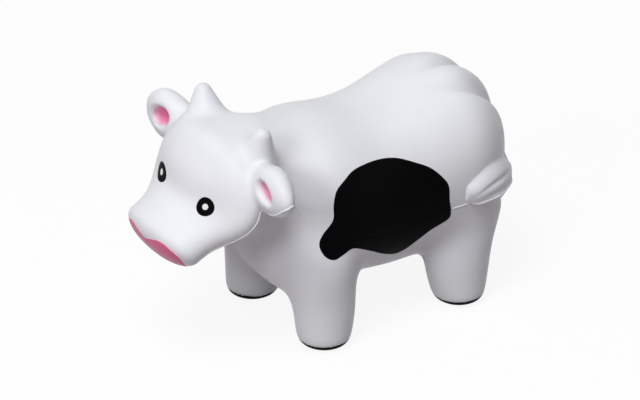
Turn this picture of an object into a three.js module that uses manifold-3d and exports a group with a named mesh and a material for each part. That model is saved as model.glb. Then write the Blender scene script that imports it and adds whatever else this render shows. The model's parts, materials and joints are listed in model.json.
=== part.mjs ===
// A squeezable foam cow that stands on its four feet.
// Millimetres, +Z up. The cow faces -Y and its left side is +X.
// Places are measured from the middle of the four feet, on the ground. The last lines shift
// the finished cow so that the origin is the bottom centre of its box.

import * as THREE from 'three';
import { mergeVertices } from 'three/addons/utils/BufferGeometryUtils.js';
import Module from 'manifold-3d';

const wasm = await Module();
wasm.setup();

// Fits
const GAP = 0.3;                 // clearance between a piece and the one that carries it
const FILM = 0.4;                // thickness of a printed paint film

// Legs: four round posts that swell upwards and lean inwards, each with a black sole under it
const LEG_X = 18.4;              // from the middle to a foot's centre, sideways
const LEG_Y = 23.3;              // from the middle to a foot's centre, along the cow
const LEG_LEAN_DEGREES = 4.9;
const SOLE_THICK = 2;
const FOOT_EDGE = 4;             // radius of the rounded edge round the sole
const FOOT_RADIUS = 7.8;
const SHIN_HEIGHT = 8;
const SHIN_RADIUS = 8.2;
const KNEE_HEIGHT = 18;
const KNEE_RADIUS = 8.7;
const THIGH_HEIGHT = 27;
const THIGH_RADIUS = 8.8;
const THIGH_DOME = 11;           // height of the round top, inside the barrel
const HOCK_SWELL = 0.7;          // how far a hind leg swells backwards at the shin, knee and thigh
const GASKIN_SWELL = 2.8;
const HAUNCH_SWELL = 5.6;

// Torso: sections along Y at the chest, shoulders, back, loin, croup, rump and tail head
const TORSO_AXIS = 39;           // height of the line that the sections are drawn round
const CHEST_Y = -34;
const SHOULDER_Y = -20;
const BACK_Y = -5;
const LOIN_Y = 8;
const CROUP_Y = 20;
const RUMP_Y = 30;
const TAILHEAD_Y = 42;
const CHEST_HALF_WIDTH = 22;
const SHOULDER_HALF_WIDTH = 25;
const BARREL_HALF_WIDTH = 25.5;
const CROUP_HALF_WIDTH = 26.3;
const TAILHEAD_HALF_WIDTH = 25.5;
const CHEST_RISE = 21;           // rises are heights above TORSO_AXIS
const SHOULDER_RISE = 22.3;
const BACK_RISE = 22.2;
const LOIN_RISE = 23.3;
const CROUP_RISE = 27.2;
const RUMP_RISE = 29.6;
const TAILHEAD_RISE = 29.4;
const CHEST_DROP = 20;           // drops are depths below TORSO_AXIS
const SHOULDER_DROP = 22.5;
const BELLY_DROP = 25.6;
const CROUP_DROP = 24.5;
const TAILHEAD_DROP = 22;
const TORSO_SQUARENESS = 2.25;   // exponent of the section: 2 is an ellipse, more is boxier
const CHEST_DOME_Y = -20;        // where the round front end begins
const CHEST_DOME = 16;           // how far it reaches
const RUMP_DOME_Y = 22;          // where the round back end begins
const RUMP_DOME = 23;

// Brisket: the round keel of the chest, between the front legs
const BRISKET_Y = -22.5;
const BRISKET_DROP = 15;         // from TORSO_AXIS down to its middle
const BRISKET_HALF_WIDTH = 20;
const BRISKET_HALF_LENGTH = 12.8;
const BRISKET_HALF_HEIGHT = 13.8;
const BRISKET_FLAT = 1;          // half of the straight stretch between its round ends

// Rump creases: a cleft down the middle and a fold over each haunch
const CREASE_HALF_WIDTH = 2.4;
const CREASE_DEPTH = 2.2;
const CLEFT_START_Y = 20;
const CLEFT_LENGTH = 12;         // from its shallow front end to its full depth
const FOLD_START_Y = 17;
const FOLD_LENGTH = 17;
const FOLD_FRONT_X = 8;          // from the middle to a fold: at its front, its widest and its back
const FOLD_WIDEST_X = 12.2;
const FOLD_BACK_X = 8.5;
const CREASE_FOOT_RISE = 1;      // where they have faded out, above TORSO_AXIS
const CREASE_FADE = 10;          // height over which they fade

// Neck: a cone from inside the chest to inside the head
const NECK_BACK_RISE = 3;         // above TORSO_AXIS
const NECK_BACK_RADIUS = 20;
const NECK_FRONT_ALONG = 4;      // along the head's line
const NECK_FRONT_DROP = 7.4;     // below it
const NECK_FRONT_RADIUS = 17;

// Head: sections along a line that tips down from the poll to the muzzle
const HEAD_BACK_Y = -37;
const HEAD_BACK_Z = 58;
const HEAD_TIP_DEGREES = 35.4;   // below the horizontal
const BROW_ALONG = 9.5;          // places along the head's line
const FACE_ALONG = 19.5;
const BRIDGE_ALONG = 28;
const MUZZLE_ALONG = 36;
const POLL_HALF_WIDTH = 18.5;
const BROW_HALF_WIDTH = 22.4;
const FACE_HALF_WIDTH = 22.2;
const BRIDGE_HALF_WIDTH = 16.4;
const MUZZLE_HALF_WIDTH = 15.6;
const POLL_RISE = 13.2;          // rises and drops are square to the head's line
const BROW_RISE = 14.8;
const FACE_RISE = 8.4;
const BRIDGE_RISE = 6.8;
const MUZZLE_RISE = 8;
const POLL_DROP = 13;
const CHEEK_DROP = 12.5;
const JAW_DROP = 10.2;
const LIP_DROP = 8.6;
const MUZZLE_DROP = 8.2;
const HEAD_SQUARENESS = 2.1;
const POLL_DOME_ALONG = 8;
const POLL_DOME = 10.5;
const MUZZLE_DOME_ALONG = 33.3;
const MUZZLE_DOME = 5.6;

// Horns: blunt cones on the poll, one on each side
const HORN_X = 12.6;             // from the middle to a horn's root
const HORN_ALONG = 2.6;          // along the head's line
const HORN_RISE = 5;             // above it
const HORN_ROOT_RADIUS = 6.8;
const HORN_LENGTH = 9.8;         // from the centre of its root to the centre of its tip
const HORN_TIP_RADIUS = 2.5;
const HORN_SPREAD_DEGREES = 16.6;
const HORN_BACK_DEGREES = 3.7;

// Ears: leaves that stand out sideways, hollowed in front
const EAR_X = 16;                // from the middle to an ear's root
const EAR_ALONG = 4.9;           // along the head's line
const EAR_RISE = 3.8;            // above it
const EAR_FORWARD_DEGREES = 9.1; // swing towards the face
const EAR_UP_DEGREES = 1.7;
const EAR_MIDDLE = 11.5;         // places along the ear, from its root
const EAR_END = 21;
const EAR_ROOT_THICK = 4;        // half thicknesses
const EAR_MIDDLE_THICK = 4.8;
const EAR_END_THICK = 3.4;
const EAR_ROOT_RISE = 4.8;       // heights above and depths below the ear's own line
const EAR_MIDDLE_RISE = 7.8;
const EAR_END_RISE = 6.6;
const EAR_ROOT_DROP = 6.8;
const EAR_MIDDLE_DROP = 7.4;
const EAR_END_DROP = 6;
const EAR_SQUARENESS = 2.1;
const EAR_ROOT_DOME = 4;
const EAR_DOME_ALONG = 13.2;
const EAR_DOME = 7.8;
const CUP_ALONG = 12;            // the hollow's centre, from the ear's root
const CUP_AHEAD = 4.9;
const CUP_TIP_DEGREES = 21;      // its outer end hangs
const CUP_HALF_LENGTH = 4.9;
const CUP_HALF_DEPTH = 5.2;
const CUP_HALF_HEIGHT = 3.1;

// Tail: a thin stalk down the back of the rump that ends in a tuft on the left hip.
// Its path lies on the torso: degrees round from the back end, and degrees up from the side.
const TAIL_PATH_DEGREES = [[78, 90], [72, 20], [62, 0], [50, -3], [36, -4], [24, -4], [13, -5], [3, -6], [-8, -9]];
const TAIL_ROOT_RADIUS = 1.8;
const TAIL_STALK_RADIUS = 2.2;
const TUFT_RADIUS = 4.6;
const TUFT_TIP_RADIUS = 1;
const STALK_SHARE = 0.3;         // share of the tail's length where the tuft begins to swell
const TUFT_SHARE = 0.68;         // share where it is fattest
const TUFT_GROOVE = 0.8;         // depth of the two grooves along it
const TUFT_GROOVE_DEGREES = 32;  // from its middle line to each groove

// Printed paint: eyes, muzzle, ear linings and one patch on each flank
const EYE_ALONG = 20.8;          // an eye's place along the head's line
const EYE_X = 11.4;
const EYE_RADIUS = 2.6;
const EYE_DOT_RADIUS = 0.9;
const EYE_SPLAY_DEGREES = 17;    // turn of the eye's face outwards
const EYE_TIP_DEGREES = 16;      // and towards the muzzle
const LINING_HALF_LENGTH = 4.1;
const LINING_HALF_HEIGHT = 2.5;
const MUZZLE_PRINT_ALONG = 30;   // behind the print's rear edge, along the head
const MUZZLE_PRINT_HALF_WIDTH = 13.3;
const MUZZLE_PRINT_RISE = 6.1;
const MUZZLE_PRINT_DROP = 7.6;
const PATCH_Y = -6.9;            // middle of a patch
const PATCH_DROP = 0.2;          // below TORSO_AXIS
const PATCH_HALF_LENGTH = 21.1;
const PATCH_HALF_HEIGHT = 15.3;

// Outlines as shares of the sizes above. The muzzle's is its left half, from top to bottom.
const MUZZLE_OUTLINE = [
  [0, 0.77], [0.26, 0.92], [0.53, 1], [0.79, 0.82], [1, 0.25], [0.93, -0.39], [0.6, -0.87], [0, -1],
];
const PATCH_OUTLINE = [
  [-0.1, 1], [0.33, 0.93], [0.71, 0.69], [0.96, 0.31], [1, -0.15], [0.96, -0.48], [0.61, -0.7],
  [0.18, -1], [-0.19, -0.7], [-0.57, -0.44], [-0.86, -0.49], [-1, -0.26], [-0.82, 0.15],
  [-0.76, 0.61], [-0.55, 0.88],
];

// Facets
const TORSO_SIDES = 40;
const TORSO_STEPS = 10;
const TORSO_DOME_STEPS = 6;
const HEAD_SIDES = 28;
const HEAD_STEPS = 11;
const LIMB_SIDES = 20;
const LEG_STEPS = 5;
const SMALL_SIDES = 16;
const DOME_STEPS = 5;
const SMALL_STEPS = 3;
const TAIL_STEPS = 18;
const OUTLINE_POINTS = 48;

const FOAM_WHITE = { color: 0xe9eaf0, roughness: 0.34, metalness: 0 };
const PRINT_BLACK = { color: 0x08080a, roughness: 0.38, metalness: 0 };
const PRINT_PINK = { color: 0xe17a9f, roughness: 0.42, metalness: 0 };

const UP = new THREE.Vector3(0, 0, 1);
const LEFT = new THREE.Vector3(1, 0, 0);
const BACK = new THREE.Vector3(0, 1, 0);
const SIDES = [['left', 1], ['right', -1]];
const ENDS = [['front', -1], ['rear', 1]];
const { degToRad, lerp, clamp, smoothstep } = THREE.MathUtils;

// Helpers for curves and closed surfaces

// Smooth value through stations [place, value], held flat beyond the first and the last.
function along(stations, place) {
  const last = stations.length - 1;
  if (place <= stations[0][0]) return stations[0][1];
  if (place >= stations[last][0]) return stations[last][1];
  const after = stations.findIndex(([at]) => at > place);
  const before = after - 1;
  const slope = (index) => {
    if (index === 0 || index === last) return 0;
    const [x0, y0] = stations[index - 1];
    const [x1, y1] = stations[index];
    const [x2, y2] = stations[index + 1];
    const left = x1 - x0;
    const right = x2 - x1;
    return ((y2 - y1) / right * left + (y1 - y0) / left * right) / (left + right);
  };
  const [start, from] = stations[before];
  const [end, to] = stations[after];
  const span = end - start;
  const u = (place - start) / span;
  const bend = u * (1 - u) * span * ((1 - u) * slope(before) - u * slope(after));
  return lerp(from, to, u * u * (3 - 2 * u)) + bend;
}

// A list made by calling make with 0, 1, 2 and so on.
function series(count, make) {
  return Array.from({ length: count }, (_, index) => make(index));
}

// A closed surface through rings of points, finished at each end by a fan to one point.
function skin(rings, first, last) {
  const sides = rings[0].length;
  const points = [first, ...rings.flat(), last];
  const end = points.length - 1;
  const at = (ring, side) => 1 + ring * sides + (side % sides);
  const faces = [];
  for (let side = 0; side < sides; side += 1) {
    faces.push(0, at(0, side + 1), at(0, side));
    for (let ring = 0; ring + 1 < rings.length; ring += 1) {
      faces.push(at(ring, side), at(ring, side + 1), at(ring + 1, side + 1));
      faces.push(at(ring, side), at(ring + 1, side + 1), at(ring + 1, side));
    }
    faces.push(end, at(rings.length - 1, side), at(rings.length - 1, side + 1));
  }
  const geometry = new THREE.BufferGeometry().setFromPoints(points);
  geometry.setIndex(faces);
  return geometry;
}

// A geometry as a solid that can be joined and cut.
function solidOf(geometry) {
  const bare = geometry.clone();
  bare.deleteAttribute('normal');
  bare.deleteAttribute('uv');
  const merged = mergeVertices(bare);
  const vertProperties = Float32Array.from(merged.attributes.position.array);
  const triVerts = Uint32Array.from(merged.index.array);
  return new wasm.Manifold(new wasm.Mesh({ numProp: 3, vertProperties, triVerts }));
}

// The three directions of a loft: along its line, up and to its side.
function directions(form) {
  const line = form.axis.clone().normalize();
  const up = form.up.clone().addScaledVector(line, -form.up.dot(line)).normalize();
  const side = new THREE.Vector3().crossVectors(up, line);
  return { line, up, side };
}

// The point on a loft's surface at a place along its line and an angle up from its side.
// The section there is a superellipse of the width, rise and drop that the stations give.
// scale shrinks it towards its centre, and grow makes it larger all round.
function surfacePoint(form, place, angle, scale = 1, grow = 0) {
  const { line, up, side } = directions(form);
  const bulge = (value) => Math.sign(value) * Math.abs(value) ** (2 / form.squareness);
  const rise = along(form.rise, place);
  const drop = along(form.drop, place);
  const across = (along(form.width, place) + grow) * scale * bulge(Math.cos(angle));
  const above = ((rise + drop) / 2 + grow) * scale * bulge(Math.sin(angle));
  const point = form.origin.clone()
    .addScaledVector(line, place)
    .addScaledVector(up, (rise - drop) / 2 + above)
    .addScaledVector(side, across);
  return form.dent ? form.dent(point) : point;
}

// A body drawn round a straight line, with a dome at each end. grow makes it larger all round,
// as the cutter for a neighbour or the outside of a paint film.
function loft(form, grow = 0) {
  const startDome = form.startDome + grow;
  const endDome = form.endDome + grow;
  const places = [];
  for (let step = 1; step < form.domeSteps; step += 1) {
    const turn = (step / form.domeSteps) * Math.PI / 2;
    places.push([form.start - startDome * Math.cos(turn), Math.sin(turn)]);
  }
  for (let step = 0; step <= form.steps; step += 1) {
    places.push([lerp(form.start, form.end, step / form.steps), 1]);
  }
  for (let step = 1; step < form.domeSteps; step += 1) {
    const turn = (step / form.domeSteps) * Math.PI / 2;
    places.push([form.end + endDome * Math.sin(turn), Math.cos(turn)]);
  }
  const rings = places.map(([place, scale]) => series(form.sides, (index) => (
    surfacePoint(form, place, (index / form.sides) * 2 * Math.PI, scale, grow)
  )));
  const first = surfacePoint(form, form.start - startDome, 0, 0);
  const last = surfacePoint(form, form.end + endDome, 0, 0);
  return solidOf(skin(rings, first, last));
}

// A cutter: a closed outline of [u, v] points, smoothed, drawn out square to its plane.
function prism(outline, origin, right, up, reach) {
  const curve = new THREE.CatmullRomCurve3(outline.map(([u, v]) => new THREE.Vector3(u, v, 0)), true);
  const shape = new THREE.Shape(curve.getPoints(OUTLINE_POINTS).slice(0, -1));
  const geometry = new THREE.ExtrudeGeometry(shape, { depth: reach, bevelEnabled: false });
  const out = new THREE.Vector3().crossVectors(right, up);
  geometry.applyMatrix4(new THREE.Matrix4().makeBasis(right, up, out).setPosition(origin));
  return solidOf(geometry);
}

// A round cutter of one radius along a direction, centred on a point.
function roundCutter(centre, direction, radius, length) {
  const geometry = new THREE.CylinderGeometry(radius, radius, length, LIMB_SIDES);
  geometry.applyQuaternion(new THREE.Quaternion().setFromUnitVectors(BACK, direction));
  geometry.translate(centre.x, centre.y, centre.z);
  return solidOf(geometry);
}

// Torso

const foldPath = [
  [FOLD_START_Y, FOLD_FRONT_X],
  [FOLD_START_Y + FOLD_LENGTH * 0.8, FOLD_WIDEST_X],
  [RUMP_DOME_Y + RUMP_DOME, FOLD_BACK_X],
];

function creaseRump(point) {
  const groove = (across) => CREASE_DEPTH * Math.exp(-((across / CREASE_HALF_WIDTH) ** 2));
  const cleft = groove(point.x) * clamp((point.y - CLEFT_START_Y) / CLEFT_LENGTH, 0, 1);
  const fromFold = Math.abs(point.x) - along(foldPath, point.y);
  const fold = groove(fromFold) * clamp((point.y - FOLD_START_Y) / FOLD_LENGTH, 0, 1) ** 1.6;
  const above = clamp((point.z - TORSO_AXIS - CREASE_FOOT_RISE) / CREASE_FADE, 0, 1);
  const inward = new THREE.Vector3(0, Math.min(RUMP_DOME_Y - point.y, 0), TORSO_AXIS - point.z);
  return point.addScaledVector(inward.normalize(), (cleft + fold) * above);
}

const torsoForm = {
  origin: new THREE.Vector3(0, 0, TORSO_AXIS),
  axis: BACK,
  up: UP,
  width: [
    [CHEST_Y, CHEST_HALF_WIDTH], [SHOULDER_Y, SHOULDER_HALF_WIDTH], [BACK_Y, BARREL_HALF_WIDTH],
    [CROUP_Y, CROUP_HALF_WIDTH], [TAILHEAD_Y, TAILHEAD_HALF_WIDTH],
  ],
  rise: [
    [CHEST_Y, CHEST_RISE], [SHOULDER_Y, SHOULDER_RISE], [BACK_Y, BACK_RISE], [LOIN_Y, LOIN_RISE],
    [CROUP_Y, CROUP_RISE], [RUMP_Y, RUMP_RISE], [TAILHEAD_Y, TAILHEAD_RISE],
  ],
  drop: [
    [CHEST_Y, CHEST_DROP], [SHOULDER_Y, SHOULDER_DROP], [BACK_Y, BELLY_DROP],
    [CROUP_Y, CROUP_DROP], [TAILHEAD_Y, TAILHEAD_DROP],
  ],
  squareness: TORSO_SQUARENESS,
  start: CHEST_DOME_Y,
  startDome: CHEST_DOME,
  end: RUMP_DOME_Y,
  endDome: RUMP_DOME,
  sides: TORSO_SIDES,
  steps: TORSO_STEPS,
  domeSteps: TORSO_DOME_STEPS,
  dent: creaseRump,
};

// Head

const headTip = degToRad(HEAD_TIP_DEGREES);
const headForm = {
  origin: new THREE.Vector3(0, HEAD_BACK_Y, HEAD_BACK_Z),
  axis: new THREE.Vector3(0, -Math.cos(headTip), -Math.sin(headTip)),
  up: UP,
  width: [
    [0, POLL_HALF_WIDTH], [BROW_ALONG, BROW_HALF_WIDTH], [FACE_ALONG, FACE_HALF_WIDTH],
    [BRIDGE_ALONG, BRIDGE_HALF_WIDTH], [MUZZLE_ALONG, MUZZLE_HALF_WIDTH],
  ],
  rise: [
    [0, POLL_RISE], [BROW_ALONG, BROW_RISE], [FACE_ALONG, FACE_RISE],
    [BRIDGE_ALONG, BRIDGE_RISE], [MUZZLE_ALONG, MUZZLE_RISE],
  ],
  drop: [
    [0, POLL_DROP], [BROW_ALONG, CHEEK_DROP], [FACE_ALONG, JAW_DROP],
    [BRIDGE_ALONG, LIP_DROP], [MUZZLE_ALONG, MUZZLE_DROP],
  ],
  squareness: HEAD_SQUARENESS,
  start: POLL_DOME_ALONG,
  startDome: POLL_DOME,
  end: MUZZLE_DOME_ALONG,
  endDome: MUZZLE_DOME,
  sides: HEAD_SIDES,
  steps: HEAD_STEPS,
  domeSteps: DOME_STEPS,
};
const { line: headLine, up: headUp } = directions(headForm);

// A place in the head: across to the left, along its line and above it.
function inHead(across, place, rise) {
  return headForm.origin.clone()
    .addScaledVector(LEFT, across)
    .addScaledVector(headLine, place)
    .addScaledVector(headUp, rise);
}

// Brisket: an egg under the chest

const brisketForm = {
  origin: new THREE.Vector3(0, BRISKET_Y, TORSO_AXIS - BRISKET_DROP),
  axis: BACK,
  up: UP,
  width: [[-BRISKET_FLAT, BRISKET_HALF_WIDTH], [BRISKET_FLAT, BRISKET_HALF_WIDTH]],
  rise: [[-BRISKET_FLAT, BRISKET_HALF_HEIGHT], [BRISKET_FLAT, BRISKET_HALF_HEIGHT]],
  drop: [[-BRISKET_FLAT, BRISKET_HALF_HEIGHT], [BRISKET_FLAT, BRISKET_HALF_HEIGHT]],
  squareness: 2,
  start: -BRISKET_FLAT,
  startDome: BRISKET_HALF_LENGTH - BRISKET_FLAT,
  end: BRISKET_FLAT,
  endDome: BRISKET_HALF_LENGTH - BRISKET_FLAT,
  sides: LIMB_SIDES,
  steps: 1,
  domeSteps: SMALL_STEPS + 1,
};

// Neck and horns: cones with round ends, between two points

function coneForm(from, to, fromRadius, toRadius, facets) {
  const line = new THREE.Vector3().subVectors(to, from);
  const taper = [[0, fromRadius], [line.length(), toRadius]];
  return {
    origin: from,
    axis: line,
    up: BACK,
    width: taper,
    rise: taper,
    drop: taper,
    squareness: 2,
    start: 0,
    startDome: fromRadius,
    end: line.length(),
    endDome: toRadius,
    ...facets,
  };
}

const neckForm = coneForm(
  new THREE.Vector3(0, CHEST_DOME_Y, TORSO_AXIS + NECK_BACK_RISE),
  inHead(0, NECK_FRONT_ALONG, -NECK_FRONT_DROP),
  NECK_BACK_RADIUS,
  NECK_FRONT_RADIUS,
  { sides: HEAD_SIDES, steps: SMALL_STEPS, domeSteps: DOME_STEPS },
);

function hornSolid(sign, grow = 0) {
  const root = inHead(sign * HORN_X, HORN_ALONG, HORN_RISE);
  const lean = UP.clone()
    .addScaledVector(LEFT, sign * Math.tan(degToRad(HORN_SPREAD_DEGREES)))
    .addScaledVector(BACK, Math.tan(degToRad(HORN_BACK_DEGREES)))
    .normalize();
  const tip = root.clone().addScaledVector(lean, HORN_LENGTH);
  const facets = { sides: SMALL_SIDES, steps: SMALL_STEPS, domeSteps: SMALL_STEPS };
  return loft(coneForm(root, tip, HORN_ROOT_RADIUS, HORN_TIP_RADIUS, facets), grow);
}

// Legs and soles

const legTaper = [
  [0, FOOT_RADIUS], [SHIN_HEIGHT, SHIN_RADIUS], [KNEE_HEIGHT, KNEE_RADIUS], [THIGH_HEIGHT, THIGH_RADIUS],
];

const legSwell = [
  [0, 0], [SHIN_HEIGHT, HOCK_SWELL], [KNEE_HEIGHT, GASKIN_SWELL], [THIGH_HEIGHT, HAUNCH_SWELL],
];

// Half the width of a leg at a height. swell is what a hind leg adds to it behind.
function legRadius(height, swell = 0) {
  const below = Math.max(FOOT_EDGE - height, 0);
  const edge = FOOT_EDGE - Math.sqrt(FOOT_EDGE ** 2 - below ** 2);
  const over = Math.max(height - THIGH_HEIGHT, 0) / THIGH_DOME;
  return (along(legTaper, height) + swell - edge) * Math.sqrt(Math.max(1 - over ** 2, 0));
}

// A round post through the heights given, over one foot.
function post(sign, end, heights, grow = 0) {
  const centre = (height) => new THREE.Vector3(
    sign * (LEG_X - height * Math.tan(degToRad(LEG_LEAN_DEGREES))),
    end * LEG_Y,
    height,
  );
  const rings = heights.map((height) => series(LIMB_SIDES, (index) => {
    const angle = (index / LIMB_SIDES) * 2 * Math.PI;
    const behind = end > 0 && Math.sin(angle) > 0;
    const reach = legRadius(height, behind ? along(legSwell, height) : 0) + grow;
    return centre(height)
      .addScaledVector(LEFT, (legRadius(height) + grow) * Math.cos(angle))
      .addScaledVector(BACK, reach * Math.sin(angle));
  }));
  return solidOf(skin(rings, centre(heights[0]), centre(heights.at(-1))));
}

function legSolid(sign, end, grow = 0) {
  const bottom = SOLE_THICK + GAP;
  const edge = series(SMALL_STEPS, (step) => lerp(bottom, FOOT_EDGE, step / SMALL_STEPS));
  const shaft = series(LEG_STEPS + 1, (step) => lerp(FOOT_EDGE, THIGH_HEIGHT, step / LEG_STEPS));
  const dome = series(SMALL_STEPS, (step) => (
    THIGH_HEIGHT + THIGH_DOME * Math.sin(((step + 1) / (SMALL_STEPS + 1)) * Math.PI / 2)
  ));
  return post(sign, end, [...edge, ...shaft, ...dome], grow);
}

function soleSolid(sign, end) {
  return post(sign, end, series(SMALL_STEPS + 1, (step) => SOLE_THICK * step / SMALL_STEPS));
}

// Ears

function earForm(sign) {
  const forward = degToRad(EAR_FORWARD_DEGREES);
  const upwards = degToRad(EAR_UP_DEGREES);
  return {
    origin: inHead(sign * EAR_X, EAR_ALONG, EAR_RISE),
    axis: new THREE.Vector3(sign * Math.cos(forward), -Math.sin(forward), Math.tan(upwards)),
    up: UP,
    width: [[0, EAR_ROOT_THICK], [EAR_MIDDLE, EAR_MIDDLE_THICK], [EAR_END, EAR_END_THICK]],
    rise: [[0, EAR_ROOT_RISE], [EAR_MIDDLE, EAR_MIDDLE_RISE], [EAR_END, EAR_END_RISE]],
    drop: [[0, EAR_ROOT_DROP], [EAR_MIDDLE, EAR_MIDDLE_DROP], [EAR_END, EAR_END_DROP]],
    squareness: EAR_SQUARENESS,
    start: EAR_ROOT_DOME,
    startDome: EAR_ROOT_DOME,
    end: EAR_DOME_ALONG,
    endDome: EAR_DOME,
    sides: LIMB_SIDES,
    steps: SMALL_STEPS,
    domeSteps: SMALL_STEPS + 1,
  };
}

function cupCentre(sign) {
  const form = earForm(sign);
  const { line } = directions(form);
  return form.origin.clone().addScaledVector(line, CUP_ALONG).addScaledVector(BACK, -CUP_AHEAD);
}

function cupSolid(sign, shrink = 0) {
  const centre = cupCentre(sign);
  const geometry = new THREE.SphereGeometry(1, LIMB_SIDES, LIMB_SIDES / 2);
  geometry.scale(CUP_HALF_LENGTH - shrink, CUP_HALF_DEPTH - shrink, CUP_HALF_HEIGHT - shrink);
  geometry.rotateY(sign * degToRad(CUP_TIP_DEGREES));
  geometry.translate(centre.x, centre.y, centre.z);
  return solidOf(geometry);
}

// Tail

const tailTaper = [
  [0, TAIL_ROOT_RADIUS], [STALK_SHARE, TAIL_STALK_RADIUS],
  [TUFT_SHARE, TUFT_RADIUS], [1, TUFT_TIP_RADIUS],
];

// A point on the torso: round its back end for a positive turn, forward of it for a negative one.
function onRump([turnDegrees, upDegrees]) {
  const turn = degToRad(turnDegrees);
  const place = RUMP_DOME_Y + RUMP_DOME * (turn > 0 ? Math.sin(turn) : turn);
  return surfacePoint(torsoForm, place, degToRad(180 - upDegrees), turn > 0 ? Math.cos(turn) : 1);
}

function tailSolid(grow = 0) {
  const curve = new THREE.CatmullRomCurve3(TAIL_PATH_DEGREES.map(onRump));
  const inside = new THREE.Vector3(0, CROUP_Y, TORSO_AXIS);
  const rings = series(TAIL_STEPS + 1, (step) => {
    const share = step / TAIL_STEPS;
    const centre = curve.getPointAt(share);
    const line = curve.getTangentAt(share);
    const out = new THREE.Vector3().subVectors(centre, inside);
    out.addScaledVector(line, -out.dot(line)).normalize();
    const side = new THREE.Vector3().crossVectors(line, out);
    const swell = smoothstep(share, STALK_SHARE, TUFT_SHARE);
    const thick = along(tailTaper, share) / TUFT_RADIUS;
    return series(LIMB_SIDES, (index) => {
      const turn = (index / LIMB_SIDES) * 2 * Math.PI;
      const fromMiddle = Math.min(turn, 2 * Math.PI - turn);
      const fromGroove = fromMiddle / degToRad(TUFT_GROOVE_DEGREES) - 1;
      const groove = TUFT_GROOVE * swell * thick * Math.exp(-4 * fromGroove ** 2);
      const radius = along(tailTaper, share) - groove + grow;
      return centre.clone()
        .addScaledVector(out, radius * Math.cos(turn))
        .addScaledVector(side, radius * Math.sin(turn));
    });
  });
  const first = curve.getPointAt(0).addScaledVector(curve.getTangentAt(0), -TAIL_ROOT_RADIUS);
  const last = curve.getPointAt(1).addScaledVector(curve.getTangentAt(1), TUFT_TIP_RADIUS);
  return solidOf(skin(rings, first, last));
}

// Assembly

const cow = new THREE.Group();

function addPiece(name, solid, finish) {
  const { vertProperties, triVerts } = solid.getMesh();
  const geometry = new THREE.BufferGeometry();
  geometry.setAttribute('position', new THREE.BufferAttribute(Float32Array.from(vertProperties), 3));
  geometry.setIndex(Array.from(triVerts));
  geometry.computeVertexNormals();
  const piece = new THREE.Mesh(geometry, new THREE.MeshStandardMaterial(finish));
  piece.name = name;
  cow.add(piece);
}

const torsoCutter = loft(torsoForm, GAP);
const headCutter = loft(headForm, GAP);
const neckCutter = loft(neckForm, GAP);

// Foam, each piece cut by the larger ones that it grows out of
const keel = SIDES.reduce((rest, [, sign]) => rest.subtract(legSolid(sign, -1, GAP)), loft(brisketForm));
addPiece('torso', loft(torsoForm).add(keel), FOAM_WHITE);
addPiece('head', loft(headForm).subtract(torsoCutter), FOAM_WHITE);
const collar = loft(neckForm).subtract(torsoCutter).subtract(headCutter);
addPiece('neck', collar.subtract(loft(brisketForm, GAP)), FOAM_WHITE);

for (const [endName, end] of ENDS) {
  for (const [sideName, sign] of SIDES) {
    const leg = legSolid(sign, end).subtract(torsoCutter).subtract(neckCutter);
    addPiece(`leg_${endName}_${sideName}`, leg.subtract(tailSolid(GAP)), FOAM_WHITE);
    addPiece(`sole_${endName}_${sideName}`, soleSolid(sign, end), PRINT_BLACK);
  }
}

addPiece('tail', tailSolid().subtract(torsoCutter), FOAM_WHITE);

for (const [sideName, sign] of SIDES) {
  const horn = hornSolid(sign).subtract(headCutter).subtract(neckCutter);
  addPiece(`horn_${sideName}`, horn, FOAM_WHITE);
  const ear = loft(earForm(sign)).subtract(cupSolid(sign)).subtract(headCutter).subtract(neckCutter);
  addPiece(`ear_${sideName}`, ear.subtract(hornSolid(sign, GAP)), FOAM_WHITE);
}

// Paint films: a thin shell just off the foam, kept only inside the print's outline
const headFilm = loft(headForm, GAP + FILM).subtract(headCutter);

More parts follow.
